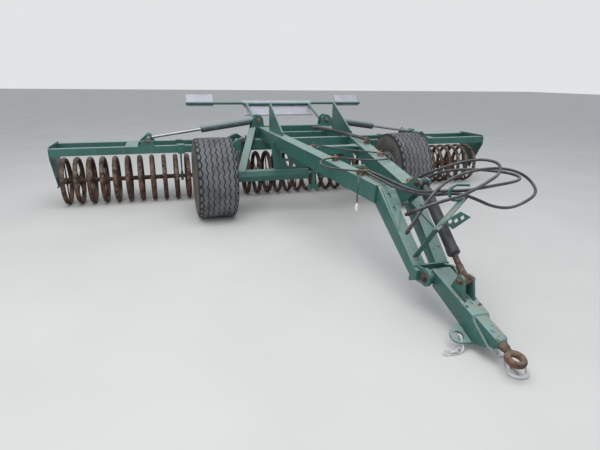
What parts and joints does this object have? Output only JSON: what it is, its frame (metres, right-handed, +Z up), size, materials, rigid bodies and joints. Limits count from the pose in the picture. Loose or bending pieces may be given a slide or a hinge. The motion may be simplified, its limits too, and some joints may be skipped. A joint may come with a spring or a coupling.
{
  "type": "towed land roller",
  "caption": "Three-section folding ring roller with cast rings, two wide transport tyres, marker boards and an A-frame drawbar with a hinged nose and drawbar eye.",
  "frame": {"origin": "centre of the machine's footprint box at ground level", "axes": "+Z up, the drawbar points to -Y, +X is the machine's left as seen looking along its direction of travel"},
  "size_m": [6.24, 5.5848, 1.352],
  "materials": {
    "green_paint": "gloss, dusty and chipped",
    "cast_rings": "rusted, worn bright at the edges",
    "tyre_rubber": "dusty",
    "rim_paint": "satin, dusty",
    "board_sheet": "dull galvanised sheet",
    "chromed_rod": "polished",
    "cylinder_paint": "gloss",
    "bare_steel": "worn, lightly rusted"
  },
  "bodies": {
    "chassis": {"frame_saddles": "green_paint", "upper_cross_members": "green_paint", "left_tower": "green_paint", "right_tower": "green_paint", "left_drawbar_arm": "green_paint", "right_drawbar_arm": "green_paint", "drawbar_cross_members": "green_paint", "drawbar_horns": "green_paint", "axle_beam": "green_paint", "axle_webs": "green_paint", "tower_struts": "green_paint", "axle_centre_bracket": "green_paint", "drop_neck": "green_paint", "centre_gang_frame": "green_paint", "marker_rail": "green_paint", "centre_marker_board": "board_sheet", "left_marker_board": "board_sheet", "right_marker_board": "board_sheet"},
    "nose": {"nose_beam": "green_paint"},
    "hitch": {"hitch_eye": "bare_steel"},
    "nose_ram_body": {"nose_ram_barrel": "cylinder_paint"},
    "nose_ram_slide": {"nose_ram_rod": "chromed_rod"},
    "centre_gang": {"centre_ring_gang": "cast_rings"},
    "left_wing": {"left_wing_frame": "green_paint", "left_wing_end_plate": "green_paint", "left_wing_mid_hanger": "green_paint", "left_wing_cylinder_lug": "green_paint"},
    "left_gang": {"left_ring_gang": "cast_rings"},
    "left_wheel": {"left_tyre": "tyre_rubber", "left_wheel_rim": "rim_paint"},
    "left_barrel": {"left_cylinder_barrel": "cylinder_paint"},
    "left_rod": {"left_cylinder_rod": "chromed_rod"},
    "right_wing": {"right_wing_frame": "green_paint", "right_wing_end_plate": "green_paint", "right_wing_mid_hanger": "green_paint", "right_wing_cylinder_lug": "green_paint"},
    "right_gang": {"right_ring_gang": "cast_rings"},
    "right_wheel": {"right_tyre": "tyre_rubber", "right_wheel_rim": "rim_paint"},
    "right_barrel": {"right_cylinder_barrel": "cylinder_paint"},
    "right_rod": {"right_cylinder_rod": "chromed_rod"}
  },
  "joints": [
    {"name": "nose_pivot", "type": "hinge", "parent": "chassis", "child": "nose", "pos_m": [0, -1.95, 0.285], "axis": [-1, 0, 0], "range_deg": [-15, 30]},
    {"name": "hitch_swivel", "type": "hinge", "parent": "nose", "child": "hitch", "pos_m": [0, -2.72127, 0.11401], "axis": [0, -0.9763, -0.2164], "continuous": true},
    {"name": "nose_ram_tilt", "type": "hinge", "parent": "chassis", "child": "nose_ram_body", "pos_m": [0, -1.63, 0.885], "axis": [-1, 0, 0], "range_deg": [-20, 30]},
    {"name": "nose_ram_stroke", "type": "slide", "parent": "nose_ram_body", "child": "nose_ram_slide", "axis": [0, -0.7616, -0.6481], "range_m": [-0.2, 0.12]},
    {"name": "centre_gang_spin", "type": "hinge", "parent": "chassis", "child": "centre_gang", "pos_m": [0, 1.817, 0.305], "axis": [1, 0, 0], "continuous": true},
    {"name": "left_wing_fold", "type": "hinge", "parent": "chassis", "child": "left_wing", "pos_m": [0.77, 1.817, 0.8], "axis": [0, -1, 0], "range_deg": [0, 90]},
    {"name": "left_gang_spin", "type": "hinge", "parent": "left_wing", "child": "left_gang", "pos_m": [1.957, 1.817, 0.305], "axis": [1, 0, 0], "continuous": true},
    {"name": "left_wheel_spin", "type": "hinge", "parent": "chassis", "child": "left_wheel", "pos_m": [1.244, 0.822, 0.47], "axis": [1, 0, 0], "continuous": true},
    {"name": "left_cylinder_tilt", "type": "hinge", "parent": "chassis", "child": "left_barrel", "pos_m": [0.506, 1.817, 1.044], "axis": [0, -1, 0], "range_deg": [0, 85]},
    {"name": "left_cylinder_stroke", "type": "slide", "parent": "left_barrel", "child": "left_rod", "axis": [0.99, 0, -0.1412], "range_m": [-0.51, 0]},
    {"name": "right_wing_fold", "type": "hinge", "parent": "chassis", "child": "right_wing", "pos_m": [-0.77, 1.817, 0.8], "axis": [0, 1, 0], "range_deg": [0, 90]},
    {"name": "right_gang_spin", "type": "hinge", "parent": "right_wing", "child": "right_gang", "pos_m": [-1.957, 1.817, 0.305], "axis": [1, 0, 0], "continuous": true},
    {"name": "right_wheel_spin", "type": "hinge", "parent": "chassis", "child": "right_wheel", "pos_m": [-1.244, 0.822, 0.47], "axis": [1, 0, 0], "continuous": true},
    {"name": "right_cylinder_tilt", "type": "hinge", "parent": "chassis", "child": "right_barrel", "pos_m": [-0.506, 1.817, 1.044], "axis": [0, 1, 0], "range_deg": [0, 85]},
    {"name": "right_cylinder_stroke", "type": "slide", "parent": "right_barrel", "child": "right_rod", "axis": [-0.99, 0, -0.1412], "range_m": [-0.51, 0]}
  ],
  "couplings": [
    {"joint": "nose_ram_tilt", "follows": "nose_pivot", "ratio": 0.15527},
    {"joint": "nose_ram_stroke", "follows": "nose_pivot", "m_per_rad": -0.26023},
    {"joint": "left_cylinder_tilt", "follows": "left_wing_fold", "ratio": 0.94069},
    {"joint": "left_cylinder_stroke", "follows": "left_wing_fold", "m_per_rad": -0.31565},
    {"joint": "right_cylinder_tilt", "follows": "right_wing_fold", "ratio": 0.94069},
    {"joint": "right_cylinder_stroke", "follows": "right_wing_fold", "m_per_rad": -0.31565}
  ]
}
